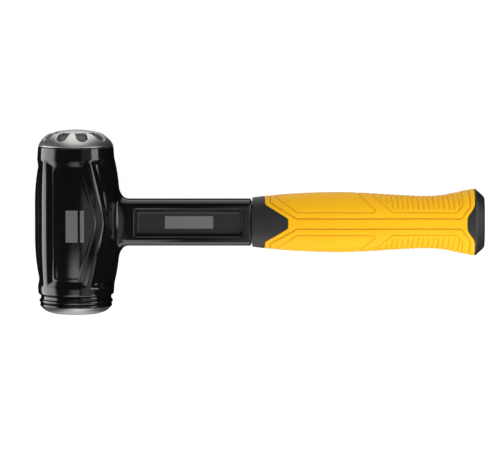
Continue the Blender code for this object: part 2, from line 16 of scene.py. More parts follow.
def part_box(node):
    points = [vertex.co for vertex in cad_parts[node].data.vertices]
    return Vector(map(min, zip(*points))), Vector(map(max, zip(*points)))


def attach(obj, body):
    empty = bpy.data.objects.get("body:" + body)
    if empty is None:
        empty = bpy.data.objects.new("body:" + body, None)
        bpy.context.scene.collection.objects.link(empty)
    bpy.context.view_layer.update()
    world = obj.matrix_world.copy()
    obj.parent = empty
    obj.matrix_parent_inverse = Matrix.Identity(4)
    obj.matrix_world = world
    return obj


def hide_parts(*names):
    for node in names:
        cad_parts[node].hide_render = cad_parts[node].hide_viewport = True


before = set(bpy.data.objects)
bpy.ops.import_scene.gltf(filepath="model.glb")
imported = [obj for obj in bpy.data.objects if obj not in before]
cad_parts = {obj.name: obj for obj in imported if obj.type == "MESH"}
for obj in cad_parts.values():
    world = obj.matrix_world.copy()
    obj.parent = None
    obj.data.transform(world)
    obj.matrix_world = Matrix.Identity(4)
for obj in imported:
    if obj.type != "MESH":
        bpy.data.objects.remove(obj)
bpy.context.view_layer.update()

MM = 0.001
scene = bpy.context.scene


def centre_of_head():
    """The point that all pieces are drawn around: the head's axis, at the handle's middle height."""
    low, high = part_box("crown_plug")
    grip_low, grip_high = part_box("grip_sleeve")
    return Vector(((low.x + high.x) / 2, (grip_low.y + grip_high.y) / 2, (low.z + high.z) / 2))


CENTRE = centre_of_head()


def box_mm(node):
    """Lowest and highest corner of a CAD node, in millimetres around the head's centre."""
    low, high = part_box(node)
    return (low - CENTRE) / MM, (high - CENTRE) / MM


# ---------------------------------------------------------------- sizes that the frame gives

GAP = 0.3                    # room between pieces that touch
casing_low, casing_high = box_mm("head_casing")
crown_low, crown_high = box_mm("crown_plug")
striker_low, striker_high = box_mm("striking_plug")
tube_high = box_mm("canister_tube")[1]
core_low, core_high = box_mm("handle_core")
cap_high = box_mm("end_cap")[1]

BARREL_MIDDLE = (casing_low.y + casing_high.y) / 2
BARREL_HALF = (casing_high.y - casing_low.y) / 2
PANEL_DEPTH = 1.75           # how far the ribs stand proud of the panel floors
BARREL_RADIUS = -casing_low.x + PANEL_DEPTH
BORE_RADIUS = tube_high.x + GAP
PLUG_RADIUS = tube_high.x
GRIP_START = core_low.x
TAIL_END = cap_high.x
GRIP_LENGTH = TAIL_END - GRIP_START
SHANK_END = GRIP_START - 0.6

# ---------------------------------------------------------------- sizes of the fine shapes

# Barrel
BAND_RADIUS = 24.0           # plain bands at the barrel's two ends
BAND_WIDTH = 7.2
BAND_TAPER = 0.5
BELLY_FLAT = 10.0            # half length of the belly's straight stretch
BULGE_POWER = 2.2
PANEL_TOP = 38.7             # the sunken panels' ends, from the barrel's middle
PANEL_BOTTOM = -40.8
END_WALL = 4.8               # width of the panels' sloping end walls
POLL_RIB_X = -18.85          # straight rib between broad panel and poll panel
POLL_RIB_WIDTH = 2.9
POLL_WALL = 6.8
BROAD_WALL = 4.4
BEAD_HEIGHT = 0.27           # fine raised line round the broad panel's floor
BEAD_WIDTH = 0.75
V_RIB_TIP_X = 19.4           # the V rib's sharp tip, before it is blunted
V_RIB_SLOPE = 0.272
V_RIB_BLUNT = 3.7
V_RIB_WIDTH = 2.5
V_WALL = 4.8
SIDE_WALL = 3.0
SIDE_END_WALL = 2.6
SPINE_ANGLE = 80.0           # degrees from the broad side to the raised spine over the neck
SPINE_WALL = 3.0
PAD_WALL = 7.0
NECK_PAD = (23.0, 19.0)      # half height and half width of the raised pad around the neck
TOP_BREAK = 0.35
BOTTOM_ROUND = 1.5

# Neck and shank
NECK_ROOT = (22.5, 13.0)     # half height and half width of the flare where it leaves the barrel
NECK_END = 33.6
SHANK_HALF = (14.35, 9.5)    # half height, half thickness
SHANK_ROUND = 4.0
SHANK_BREAK = 1.1
RECESS_START = 36.2
RECESS_END = 104.0
RECESS_HALF = 8.9
RECESS_SLOPE = 2.7           # width of the recess's sloping sides
RECESS_DEPTH = 3.0
RECESS_CORNER = 1.6
BOSS_INSET = 1.3             # the boss that fills the gap between shank and collar
TANG_HALF = (8.0, 4.25)

# Plain printed bars: (x, y, half length, half height), on the side that faces up
BAR_HEIGHT = 15.0            # the print reaches from here up and down by BAR_REACH
BAR_REACH = 14.0
RECESS_BAR = (70.6, 0.3, 15.0, 3.9)
BARREL_BARS = ((-1.8, -0.8, 3.7, 9.9), (4.6, -0.8, 1.2, 9.9))

# Handle
GRIP_POWER = 2.6             # how square the oval section is
# Outline: (share of the grip's length, half height, half thickness)
GRIP_OUTLINE = (
    (0.000, 15.3, 11.2), (0.055, 16.3, 12.2), (0.160, 17.6, 13.8), (0.290, 18.45, 14.7),
    (0.385, 18.65, 14.9), (0.505, 18.05, 14.6), (0.640, 16.95, 13.9), (0.750, 16.35, 13.5),
    (0.810, 16.8, 13.7), (0.875, 18.55, 14.7), (0.940, 20.45, 16.0), (0.963, 20.8, 16.3),
)
SLEEVE_WALL = 3.0
COLLAR_EDGE = 117.7          # the yellow sleeve starts here at the handle's outline
COLLAR_TONGUE = ((11.85, 117.7), (4.05, 130.6))   # (half height, x) of the tongue's slanted side
COLLAR_TIP = 132.1
CAP_EDGE = 248.2
CAP_TONGUE = ((10.9, 248.2), (4.2, 243.4))
CHAMFER_START = 248.9
CHAMFER = ((248.9, 1.0), (253.5, 0.80), (254.1, 0.765), (254.45, 0.735))


# Shot
SHOTS = 20
SHOT_UNEVEN = 0.02


# ---------------------------------------------------------------- mesh helpers


def spread(*stops):
    """Numbers in rising order: stops are (value, steps up to the next value)."""
    values = []
    for (start, steps), (end, _) in zip(stops, stops[1:]):
        values += [start + (end - start) * step / steps for step in range(steps)]
    return values + [stops[-1][0]]


def add_piece(name, bm, body, replaced, mat, sharp=35.0):
    """Turns a bmesh in millimetres into a finished piece that stands for its CAD nodes."""
    bmesh.ops.remove_doubles(bm, verts=bm.verts, dist=1e-5)
    bmesh.ops.recalc_face_normals(bm, faces=bm.faces)
    place = Matrix.Translation(CENTRE) @ Matrix.Scale(MM, 4)
    bmesh.ops.transform(bm, matrix=place, verts=bm.verts)
    mesh = bpy.data.meshes.new(name)
    bm.to_mesh(mesh)
    bm.free()
    mesh.materials.append(mat)
    mesh.shade_smooth()
    mesh.set_sharp_from_angle(angle=math.radians(sharp))
    piece = bpy.data.objects.new(name, mesh)
    scene.collection.objects.link(piece)
    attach(piece, body)
    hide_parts(*replaced)
    return piece


def skin(rows, turns, place, ring=False):
    """A closed skin over a grid with one line of points for each row.

    place(row values, turn values) gives x, y, z and a mask for each point. The grid is welded along
    its seam, and its two ends are filled, or joined to each other if ring is set.
    """
    rows = np.array(rows, float)
    turns = np.array(turns, float)
    bm = bmesh.new()
    down = len(rows) if ring else len(rows) - 1
    bmesh.ops.create_grid(bm, x_segments=len(turns), y_segments=down, size=0.5)
    flat = np.array([vert.co.xy for vert in bm.verts])
    column = np.rint((flat[:, 0] + 0.5) * len(turns)).astype(int) % len(turns)
    row = np.rint((flat[:, 1] + 0.5) * down).astype(int) % len(rows)
    points = np.stack(place(rows[row], turns[column]), axis=1)
    mask = bm.verts.layers.float.new("mask")
    for vert, point in zip(bm.verts, points):
        vert.co = point[:3]
        vert[mask] = point[3]
    bmesh.ops.remove_doubles(bm, verts=bm.verts, dist=1e-5)
    if not ring:
        bmesh.ops.holes_fill(bm, edges=[edge for edge in bm.edges if edge.is_boundary], sides=0)
    return bm


def soft_abs(value, round_off):
    """Absolute value with its corner rounded off."""
    return np.sqrt(value**2 + round_off**2)


def ramp(value, round_off=0.07):
    """Rises from 0 at value 0 to 1 at value 1, with both corners rounded off."""
    return 0.5 * (soft_abs(value, round_off) - soft_abs(value - 1, round_off) + 1)


def least(round_off, *values):
    """Smallest of the values, with the change from one to another rounded off."""
    low = np.minimum.reduce(values)
    return low - round_off * np.log(sum(np.exp((low - value) / round_off) for value in values))


def smooth_table(table, column, at):
    """Reads a column of a table at a share of the length, with no corner at its points."""
    shares = np.array([row[0] for row in table])
    values = np.array([row[column] for row in table])
    slopes = np.gradient(values, shares)
    index = np.clip(np.searchsorted(shares, at, side="right") - 1, 0, len(shares) - 2)
    span = shares[index + 1] - shares[index]
    t = np.clip((at - shares[index]) / span, 0, 1)
    return (
        values[index] * (2 * t**3 - 3 * t**2 + 1)
        + slopes[index] * span * (t**3 - 2 * t**2 + t)
        + values[index + 1] * (3 * t**2 - 2 * t**3)
        + slopes[index + 1] * span * (t**3 - t**2)
    )


# ---------------------------------------------------------------- material helpers


def linear(code):
    """Turns an sRGB hex value into a linear colour."""
    channels = [int(code[i:i + 2], 16) / 255 for i in (1, 3, 5)]
    return (*[c / 12.92 if c <= 0.04045 else ((c + 0.055) / 1.055) ** 2.4 for c in channels], 1.0)


def add_node(tree, kind, inputs=None, **settings):
    """Adds a node, with its settings, and its inputs given as values or as sockets to link."""
    made = tree.nodes.new(kind)
    for name, value in settings.items():
        setattr(made, name, value)
    for name, value in (inputs or {}).items():
        if isinstance(value, bpy.types.NodeSocket):
            tree.links.new(value, made.inputs[name])
        else:
            made.inputs[name].default_value = value
    return made


def new_material(name, **constants):
    """A material with its shader's own sockets set, its tree, its shader and Object coordinates."""
    mat = bpy.data.materials.new(name)
    mat.use_nodes = True
    tree = mat.node_tree
    shader = tree.nodes["Principled BSDF"]
    for socket, value in constants.items():
        shader.inputs[socket.replace("_", " ")].default_value = value
    coords = add_node(tree, "ShaderNodeTexCoord").outputs["Object"]
    return mat, tree, shader, coords


def per_mm(size):
    """Noise scale whose features are about this many millimetres wide."""
    return 1 / (size * MM)


# Sockets of a Mix node that is set to colours, which share their names with its other sockets
MIX_FACTOR, MIX_A, MIX_B, MIX_RESULT = 0, 6, 7, 2


# ---------------------------------------------------------------- materials


def gloss_enamel():
    """Black enamel sprayed on a forging: a hard gloss over slightly uneven metal.

    The recess floors and the bore, where the mask is set, are a flatter grey-black, and the plain
    bars are printed on top.
    """
    mat, tree, shader, coords = new_material("sprayed_black_enamel", IOR=1.5)
    cloud = add_node(tree, "ShaderNodeTexNoise", {"Vector": coords, "Scale": per_mm(7.0)})
    cloud = cloud.outputs["Fac"]
    colour = add_node(tree, "ShaderNodeMix", {
        MIX_FACTOR: cloud, MIX_A: linear("#0c0e0e"), MIX_B: linear("#121414"),
    }, data_type="RGBA").outputs[MIX_RESULT]
    satin = add_node(tree, "ShaderNodeAttribute", attribute_name="mask").outputs["Fac"]
    colour = add_node(tree, "ShaderNodeMix", {
        MIX_FACTOR: satin, MIX_A: colour, MIX_B: linear("#1e1e1e"),
    }, data_type="RGBA").outputs[MIX_RESULT]
    for x, y, half_x, half_y in (RECESS_BAR, *BARREL_BARS):
        middle = CENTRE + Vector((x, y, BAR_HEIGHT)) * MM
        halves = Vector((half_x, half_y, BAR_REACH)) * MM
        away = add_node(tree, "ShaderNodeVectorMath", {0: coords, 1: middle}, operation="SUBTRACT")
        away = add_node(tree, "ShaderNodeVectorMath", {0: away.outputs[0]}, operation="ABSOLUTE")
        away = add_node(
            tree, "ShaderNodeVectorMath", {0: away.outputs[0], 1: halves}, operation="SUBTRACT"
        )
        away = add_node(tree, "ShaderNodeSeparateXYZ", {"Vector": away.outputs[0]}).outputs
        widest = add_node(tree, "ShaderNodeMath", {0: away["X"], 1: away["Y"]}, operation="MAXIMUM")
        widest = add_node(
            tree, "ShaderNodeMath", {0: widest.outputs[0], 1: away["Z"]}, operation="MAXIMUM"
        )
        printed = add_node(
            tree, "ShaderNodeMath", {0: widest.outputs[0], 1: 0.0}, operation="LESS_THAN"
        )
        colour = add_node(tree, "ShaderNodeMix", {
            MIX_FACTOR: printed.outputs[0], MIX_A: colour, MIX_B: linear("#6c6c6c"),
        }, data_type="RGBA").outputs[MIX_RESULT]
    tree.links.new(colour, shader.inputs["Base Color"])
    gloss = add_node(tree, "ShaderNodeMapRange", {"Value": cloud, "To Min": 0.08, "To Max": 0.15})
    rough = add_node(tree, "ShaderNodeMath", {
        0: satin, 1: 0.25, 2: gloss.outputs["Result"],
    }, operation="MULTIPLY_ADD")
    tree.links.new(rough.outputs[0], shader.inputs["Roughness"])
    forging = add_node(tree, "ShaderNodeTexNoise", {
        "Vector": coords, "Scale": per_mm(5.0), "Detail": 1.0,
    })
    forging = add_node(tree, "ShaderNodeBump", {
        "Height": forging.outputs["Fac"], "Distance": 0.020 * MM,
    })
    peel = add_node(tree, "ShaderNodeTexNoise", {"Vector": coords, "Scale": per_mm(0.9)})
    peel = add_node(tree, "ShaderNodeBump", {
        "Height": peel.outputs["Fac"], "Distance": 0.003 * MM, "Normal": forging.outputs["Normal"],
    })
    tree.links.new(peel.outputs["Normal"], shader.inputs["Normal"])
    return mat


def ground_steel():
    """Hardened steel, ground and lightly blasted: satin grey, darker and less metallic deep in the
    pockets.

    The blasted grain is drawn at 0.45 mm, coarser than the real one, so that it shows.
    """
    mat, tree, shader, coords = new_material("ground_crown_steel")
    grain = add_node(tree, "ShaderNodeTexNoise", {
        "Vector": coords, "Scale": per_mm(0.45), "Detail": 3.0,
    }).outputs["Fac"]
    mask = add_node(tree, "ShaderNodeAttribute", attribute_name="mask").outputs["Fac"]
    steel = add_node(tree, "ShaderNodeMix", {
        MIX_FACTOR: grain, MIX_A: linear("#b9b9b7"), MIX_B: linear("#cdcdca"),
    }, data_type="RGBA").outputs[MIX_RESULT]
    # darker grey and less metallic where the pocket mask is set
    colour = add_node(tree, "ShaderNodeMix", {
        MIX_FACTOR: mask, MIX_A: steel, MIX_B: linear("#4a4845"),
    }, data_type="RGBA").outputs[MIX_RESULT]
    tree.links.new(colour, shader.inputs["Base Color"])
    metal = add_node(tree, "ShaderNodeMapRange", {"Value": mask, "To Min": 1.0, "To Max": 0.45})
    tree.links.new(metal.outputs["Result"], shader.inputs["Metallic"])
    rough = add_node(tree, "ShaderNodeMapRange", {"Value": grain, "To Min": 0.32, "To Max": 0.44})
    tree.links.new(rough.outputs["Result"], shader.inputs["Roughness"])
    blast = add_node(tree, "ShaderNodeBump", {"Height": grain, "Distance": 0.006 * MM})
    tree.links.new(blast.outputs["Normal"], shader.inputs["Normal"])
    return mat


def turned_steel():
    """Turned steel: fine rings of tool lines around the axis, with black enamel left on the ring.

    The lines are drawn 0.35 mm apart, coarser than the real feed, so that they show.
    """
    mat, tree, shader, coords = new_material("turned_striking_steel", IOR=1.5)
    placed = add_node(tree, "ShaderNodeMapping", {"Vector": coords, "Location": -CENTRE})
    flat = add_node(tree, "ShaderNodeVectorMath", {
        0: placed.outputs[0], 1: (1.0, 0.0, 1.0),
    }, operation="MULTIPLY")
    radius = add_node(tree, "ShaderNodeVectorMath", {0: flat.outputs[0]}, operation="LENGTH")
    lines = add_node(tree, "ShaderNodeTexNoise", {
        "W": radius.outputs["Value"], "Scale": per_mm(0.35),
    }, noise_dimensions="1D").outputs["Fac"]
    mask = add_node(tree, "ShaderNodeAttribute", attribute_name="mask").outputs["Fac"]
    steel = add_node(tree, "ShaderNodeMix", {
        MIX_FACTOR: lines, MIX_A: linear("#9d9d9b"), MIX_B: linear("#c9c9c6"),
    }, data_type="RGBA").outputs[MIX_RESULT]
    colour = add_node(tree, "ShaderNodeMix", {
        MIX_FACTOR: mask, MIX_A: steel, MIX_B: linear("#0e1010"),
    }, data_type="RGBA").outputs[MIX_RESULT]
    tree.links.new(colour, shader.inputs["Base Color"])
    metal = add_node(tree, "ShaderNodeMapRange", {"Value": mask, "To Min": 1.0, "To Max": 0.0})
    tree.links.new(metal.outputs["Result"], shader.inputs["Metallic"])
    rough = add_node(tree, "ShaderNodeMapRange", {"Value": mask, "To Min": 0.34, "To Max": 0.10})
    tree.links.new(rough.outputs["Result"], shader.inputs["Roughness"])
    tooling = add_node(tree, "ShaderNodeBump", {"Height": lines, "Distance": 0.006 * MM})
    tree.links.new(tooling.outputs["Normal"], shader.inputs["Normal"])
    return mat


def moulded_rubber():
    """Yellow thermoplastic rubber moulded over the core: matt, with painted shade darkening it deep
    in its grooves.

    The spark-eroded grain is drawn at 0.5 mm, coarser than the real one, so that it shows.
    """
    mat, tree, shader, coords = new_material(
        "moulded_yellow_rubber", IOR=1.5, Roughness=0.55, Specular_IOR_Level=0.25
    )
    cloud = add_node(tree, "ShaderNodeTexNoise", {"Vector": coords, "Scale": per_mm(14.0)})
    yellow = add_node(tree, "ShaderNodeMix", {
        MIX_FACTOR: cloud.outputs["Fac"], MIX_A: linear("#ffbc06"), MIX_B: linear("#ffc00a"),
    }, data_type="RGBA").outputs[MIX_RESULT]
    mask = add_node(tree, "ShaderNodeAttribute", attribute_name="mask").outputs["Fac"]
    # painted shade: the grooves' mask darkens the yellow to orange-brown
    colour = add_node(tree, "ShaderNodeMix", {
        MIX_FACTOR: mask, MIX_A: yellow, MIX_B: linear("#cf8602"),
    }, data_type="RGBA").outputs[MIX_RESULT]
    tree.links.new(colour, shader.inputs["Base Color"])
    grain = add_node(tree, "ShaderNodeTexNoise", {"Vector": coords, "Scale": per_mm(0.5)})
    grain = add_node(tree, "ShaderNodeBump", {
        "Height": grain.outputs["Fac"], "Distance": 0.012 * MM,
    })
    tree.links.new(grain.outputs["Normal"], shader.inputs["Normal"])
    return mat


def moulded_nylon():
    """Black glass-filled nylon as moulded: satin, with a grain that breaks its highlights up.

    The grain is drawn at 0.5 mm, coarser than the real one, so that it shows.
    """
    mat, tree, shader, coords = new_material("moulded_black_nylon", IOR=1.53)
    cloud = add_node(tree, "ShaderNodeTexNoise", {"Vector": coords, "Scale": per_mm(9.0)})
    colour = add_node(tree, "ShaderNodeMix", {
        MIX_FACTOR: cloud.outputs["Fac"], MIX_A: linear("#1a1a1a"), MIX_B: linear("#202020"),
    }, data_type="RGBA").outputs[MIX_RESULT]
    tree.links.new(colour, shader.inputs["Base Color"])
    grain = add_node(tree, "ShaderNodeTexNoise", {"Vector": coords, "Scale": per_mm(0.5)})
    grain = grain.outputs["Fac"]
    rough = add_node(tree, "ShaderNodeMapRange", {"Value": grain, "To Min": 0.45, "To Max": 0.60})
    tree.links.new(rough.outputs["Result"], shader.inputs["Roughness"])
    eroded = add_node(tree, "ShaderNodeBump", {"Height": grain, "Distance": 0.010 * MM})
    tree.links.new(eroded.outputs["Normal"], shader.inputs["Normal"])
    return mat


def plain_metal(name, dark, light, grain_size, rough):
    """Bare metal of an inner part, drawn or rolled: its colour and gloss vary with a fine grain."""
    mat, tree, shader, coords = new_material(name, Metallic=1.0)
    grain = add_node(tree, "ShaderNodeTexNoise", {
        "Vector": coords, "Scale": per_mm(grain_size), "Detail": 3.0,
    }).outputs["Fac"]
    colour = add_node(tree, "ShaderNodeMix", {
        MIX_FACTOR: grain, MIX_A: linear(dark), MIX_B: linear(light),
    }, data_type="RGBA").outputs[MIX_RESULT]
    tree.links.new(colour, shader.inputs["Base Color"])
    gloss = add_node(tree, "ShaderNodeMapRange", {
        "Value": grain, "To Min": rough - 0.08, "To Max": rough + 0.08,
    })
    tree.links.new(gloss.outputs["Result"], shader.inputs["Roughness"])
    drawn = add_node(tree, "ShaderNodeBump", {"Height": grain, "Distance": 0.004 * MM})
    tree.links.new(drawn.outputs["Normal"], shader.inputs["Normal"])
    return mat


def cast_urethane():
    """Red-brown cast urethane: soft sheen, slightly mottled where the mix set unevenly."""
    mat, tree, shader, coords = new_material("cast_urethane", IOR=1.5, Roughness=0.5)
    mottle = add_node(tree, "ShaderNodeTexNoise", {"Vector": coords, "Scale": per_mm(3.0)})
    mottle = mottle.outputs["Fac"]
    colour = add_node(tree, "ShaderNodeMix", {
        MIX_FACTOR: mottle, MIX_A: linear("#8a3f2c"), MIX_B: linear("#a04c34"),
    }, data_type="RGBA").outputs[MIX_RESULT]
    tree.links.new(colour, shader.inputs["Base Color"])
    skin_bump = add_node(tree, "ShaderNodeBump", {"Height": mottle, "Distance": 0.02 * MM})
    tree.links.new(skin_bump.outputs["Normal"], shader.inputs["Normal"])
    return mat


# ---------------------------------------------------------------- head casing


def barrel_radius(y):
    """Radius over the ribs, y from the barrel's middle."""
    reach = BARREL_HALF - BAND_WIDTH
    share = np.clip(np.abs(y) - BELLY_FLAT, 0, None) / (reach - BELLY_FLAT)
    belly = BARREL_RADIUS - (BARREL_RADIUS - BAND_RADIUS) * share**BULGE_POWER
    band = BAND_RADIUS - BAND_TAPER * (np.abs(y) - reach) / BAND_WIDTH
    return np.where(np.abs(y) > reach, band, belly)


def panel_share(turn, y):
    """How deep the panels are sunk at each point of the barrel: 0 on the ribs, 1 on the floors."""
    radius = barrel_radius(y)
    arc = radius * np.arcsin(np.clip(np.sin(turn), -1, 1))

    def arc_at(x):
        return radius * np.arcsin(np.clip(x / radius, -1, 1))

    top = (PANEL_TOP - y) / END_WALL
    bottom = (y - PANEL_BOTTOM) / END_WALL
    poll_rib = arc_at(POLL_RIB_X)
    v_rib = arc_at(V_RIB_TIP_X - V_RIB_SLOPE * soft_abs(y, V_RIB_BLUNT))
    spine = radius * math.radians(SPINE_ANGLE)
    pad = np.hypot((y + BARREL_MIDDLE) / NECK_PAD[0], radius * np.cos(turn) / NECK_PAD[1]) - 1
    broad = least(
        0.14, (arc - poll_rib - POLL_RIB_WIDTH / 2) / BROAD_WALL,
        (v_rib - V_RIB_WIDTH / 2 - arc) / V_WALL, top, bottom,
    )
    poll = least(0.14, (poll_rib - POLL_RIB_WIDTH / 2 - arc) / POLL_WALL, top, bottom)
    end_wall = END_WALL / SIDE_END_WALL
    side = least(
        0.14, (arc - v_rib - V_RIB_WIDTH / 2) / SIDE_WALL, (spine - arc) / SPINE_WALL,
        pad * NECK_PAD[1] / PAD_WALL, top * end_wall, bottom * end_wall,
    )
    bead = np.exp(-(((broad - 1.1) * BROAD_WALL / BEAD_WIDTH) ** 2)) * BEAD_HEIGHT / PANEL_DEPTH
    return ramp(broad) - bead + ramp(poll) + ramp(side)


def barrel_rows():
    """(height from the barrel's middle, inset from the outer radius, bore share) of each row."""
    rows = []
    for step in range(6):
        turn = math.radians(90 * step / 5)
        inset = BOTTOM_ROUND * (1 - math.sin(turn))
        rows.append((-BARREL_HALF + BOTTOM_ROUND * (1 - math.cos(turn)), inset, 0))
    outer = spread((-BARREL_HALF + BOTTOM_ROUND, 170), (BARREL_HALF - TOP_BREAK, 1))
    rows += [(y, 0, 0) for y in outer[1:]]
    rows += [(BARREL_HALF, TOP_BREAK, 0)]
    bore = spread((BARREL_HALF, 12), (-BARREL_HALF, 1))
    return rows + [(y, 0, 1) for y in bore]


def place_barrel(row, turn):
    """Points of the barrel's skin."""
    y, inset, bore = row.T
    sunk = PANEL_DEPTH * panel_share(turn, y)
    radius = np.where(bore > 0, BORE_RADIUS, barrel_radius(y) - inset - sunk)
    return radius * np.sin(turn), y + BARREL_MIDDLE, radius * np.cos(turn), bore


def build_barrel(enamel):
    """The forged barrel with its ribs, sunken panels and bore."""
    turns = np.linspace(0, 2 * math.pi, 320, endpoint=False)
    bm = skin(barrel_rows(), turns, place_barrel, ring=True)
    return add_piece(
        "head_barrel", bm, "hammer", ["head_casing"], enamel
    )


def recess_shape(x, y):
    """Depth of the shank's recess at each point of its broad face."""
    middle = (RECESS_START + RECESS_END) / 2
    ends = (RECESS_END - RECESS_START) / 2 - np.abs(x - middle)
    sides = RECESS_HALF - np.abs(y)
    corner = RECESS_CORNER - np.hypot(
        np.clip(RECESS_CORNER - ends, 0, None), np.clip(RECESS_CORNER - sides, 0, None)
    )
    inside = np.where(corner > 0, np.minimum(ends, sides), corner)
    inside = np.where((ends < RECESS_CORNER) & (sides < RECESS_CORNER), corner, inside)
    return RECESS_DEPTH * ramp(inside / RECESS_SLOPE, 0.05)


def shank_section():
    """(y, z) of one quarter of the shank's section, from the broad face round to the edge."""
    half, thick = SHANK_HALF
    flat = spread(
        (0.0, 4), (RECESS_HALF - RECESS_SLOPE - 0.8, 8), (RECESS_HALF - RECESS_SLOPE + 0.8, 5),
        (RECESS_HALF - 0.8, 8), (RECESS_HALF + 0.8, 3), (half - SHANK_ROUND, 1),
    )
    points = [(y, thick) for y in flat]
    for step in range(1, 9):
        turn = math.radians(90 * step / 8)
        points.append((
            half - SHANK_ROUND * (1 - math.sin(turn)), thick - SHANK_ROUND * (1 - math.cos(turn))
        ))
    return points + [(half, z) for z in spread((thick - SHANK_ROUND, 4), (0.0, 1))[1:]]


def full_section(quarter):
    """All the way round from one quarter."""
    upper = quarter + [(y, -z) for y, z in quarter[-2::-1]]
    return upper + [(-y, z) for y, z in upper[-2:0:-1]]


def neck_curve(share, y, z):
    """Points of the flare that runs out of the barrel into the shank section's point (y, z)."""
    turn = np.arctan2(z / SHANK_HALF[1], y / SHANK_HALF[0])
    root_y, root_z = NECK_ROOT[0] * np.cos(turn), NECK_ROOT[1] * np.sin(turn)
    radius = barrel_radius(root_y - BARREL_MIDDLE)
    root_x = np.sqrt(radius**2 - root_z**2)
    side = np.stack([y - root_y, z - root_z])
    side /= np.hypot(*side)
    step = 0.05
    taper = (barrel_radius(root_y - BARREL_MIDDLE + step) - radius) / step
    rise = (radius * taper * side[0] - root_z * side[1]) / root_x
    size = np.sqrt(rise**2 + 1)
    start = np.stack([rise / size, side[0] / size, side[1] / size])
    turn_angle = np.arccos(np.clip(start[0], -1, 1))
    chord = np.sqrt((NECK_END - root_x) ** 2 + (y - root_y) ** 2 + (z - root_z) ** 2)
    reach = 4 * np.tan(turn_angle / 4) * chord / (2 * np.sin(turn_angle / 2))
    blends = (2 * share**3 - 3 * share**2 + 1, share**3 - 2 * share**2 + share,
              3 * share**2 - 2 * share**3, share**3 - share**2)
    ends = ((root_x, root_y, root_z), (NECK_END, y, z))
    out = []
    for axis in range(3):
        end_pull = reach if axis == 0 else 0 * reach
        out.append(
            blends[0] * ends[0][axis] + blends[1] * reach * start[axis]
            + blends[2] * ends[1][axis] + blends[3] * end_pull
        )
    return out


def place_shank(row, column):
    """Points of the neck, the shank and the tang. A row is (kind, place along it, shrink)."""
    kind, along, shrink = row.T
    section = np.array(full_section(shank_section()))
    y, z = section[column.astype(int)].T
    scale_y = 1 - shrink / SHANK_HALF[0]
    scale_z = 1 - shrink / SHANK_HALF[1]
    neck = neck_curve(np.clip(along, 0, 1), y, z)
    sunk = recess_shape(along, y) * (np.abs(z) > SHANK_HALF[1] - 1e-6)
    satin = np.clip(8 * sunk / RECESS_DEPTH - 7, 0, 1) * (kind == 2)
    shank = (along, y * scale_y, (z - np.sign(z) * sunk) * scale_z)
    tang = (along, y * TANG_HALF[0] / SHANK_HALF[0], z * TANG_HALF[1] / SHANK_HALF[1])
    root = (along, neck[1], neck[2])
    chosen = [np.select([kind == 0, kind == 1, kind == 2], [root[i], neck[i], shank[i]], tang[i])
              for i in range(3)]
    return *chosen, satin


def shank_rows(tang_end):
    """Rows of the shank's skin, from inside the barrel's wall to the tang's end."""
    rows = [(0, BORE_RADIUS + 2.0, 0)]
    rows += [(1, share, 0) for share in spread((0.0, 24), (1.0, 1))]
    stations = spread(
        (NECK_END, 4), (RECESS_START - 0.8, 8), (RECESS_START + 0.8, 5),
        (RECESS_START + RECESS_SLOPE - 0.8, 8), (RECESS_START + RECESS_SLOPE + 0.8, 24),
        (RECESS_END - RECESS_SLOPE - 0.8, 8), (RECESS_END - RECESS_SLOPE + 0.8, 5),
        (RECESS_END - 0.8, 8), (RECESS_END + 0.8, 4), (SHANK_END - SHANK_BREAK, 1),
    )
    rows += [(2, x, 0) for x in stations[1:]]
    for step in range(1, 5):
        turn = math.radians(90 * step / 4)
        x = SHANK_END - SHANK_BREAK * (1 - math.sin(turn))
        rows.append((2, x, SHANK_BREAK * (1 - math.cos(turn))))
    rows += [(2, SHANK_END, BOSS_INSET), (2, GRIP_START - 0.05, BOSS_INSET)]
    return rows + [(3, GRIP_START, 0), (3, tang_end, 0)]


def build_shank(enamel):
    """Neck flare, recessed shank and hidden tang, one forging with the barrel."""
    columns = range(len(full_section(shank_section())))
    tang_end = casing_high.x
    bm = skin(shank_rows(tang_end), columns, place_shank)
    return add_piece("neck_and_shank", bm, "hammer", ["head_casing"], enamel, 40.0)


# ---------------------------------------------------------------- face plugs

CROWN_SHOULDER = 15.9        # radius where the crown's cone ends
CROWN_DOME = 2.1
CONE_BULGE = 0.9             # how far the plugs' cones stand out at their middle
POCKETS = 9
POCKET_TURN = math.radians(14)   # from the broad side to the first pocket
POCKET_HALF = 3.6            # half width
POCKET_REACH = 6.1           # from the cone's top edge down the slope
POCKET_DEPTH = 2.0


def pocket_mask(radius, y, turn):
    """How deep each point of the crown lies in one of its pockets, 0 to 1."""
    pitch = 2 * math.pi / POCKETS
    away = np.abs((turn - POCKET_TURN + pitch / 2) % pitch - pitch / 2) * np.maximum(radius, 12.0)
    down = (crown_high.y - CROWN_DOME - y) * math.sqrt(2)
    round_end = POCKET_REACH - POCKET_HALF
    distance = np.where(down > round_end, np.hypot(away, down - round_end), away)
    return ramp((POCKET_HALF - distance) / 0.55, 0.12)


def bulged(start, end, steps):
    """Points of a plug's gently bulged cone, without its first one."""
    across, along = end[0] - start[0], end[1] - start[1]
    length = math.hypot(across, along)
    out = (abs(along) / length, -across / length * math.copysign(1, along))
    points = []
    for step in range(1, steps + 1):
        share = step / steps
        bulge = 4 * CONE_BULGE * share * (1 - share)
        points.append((start[0] + across * share + bulge * out[0],
                       start[1] + along * share + bulge * out[1]))
    return points


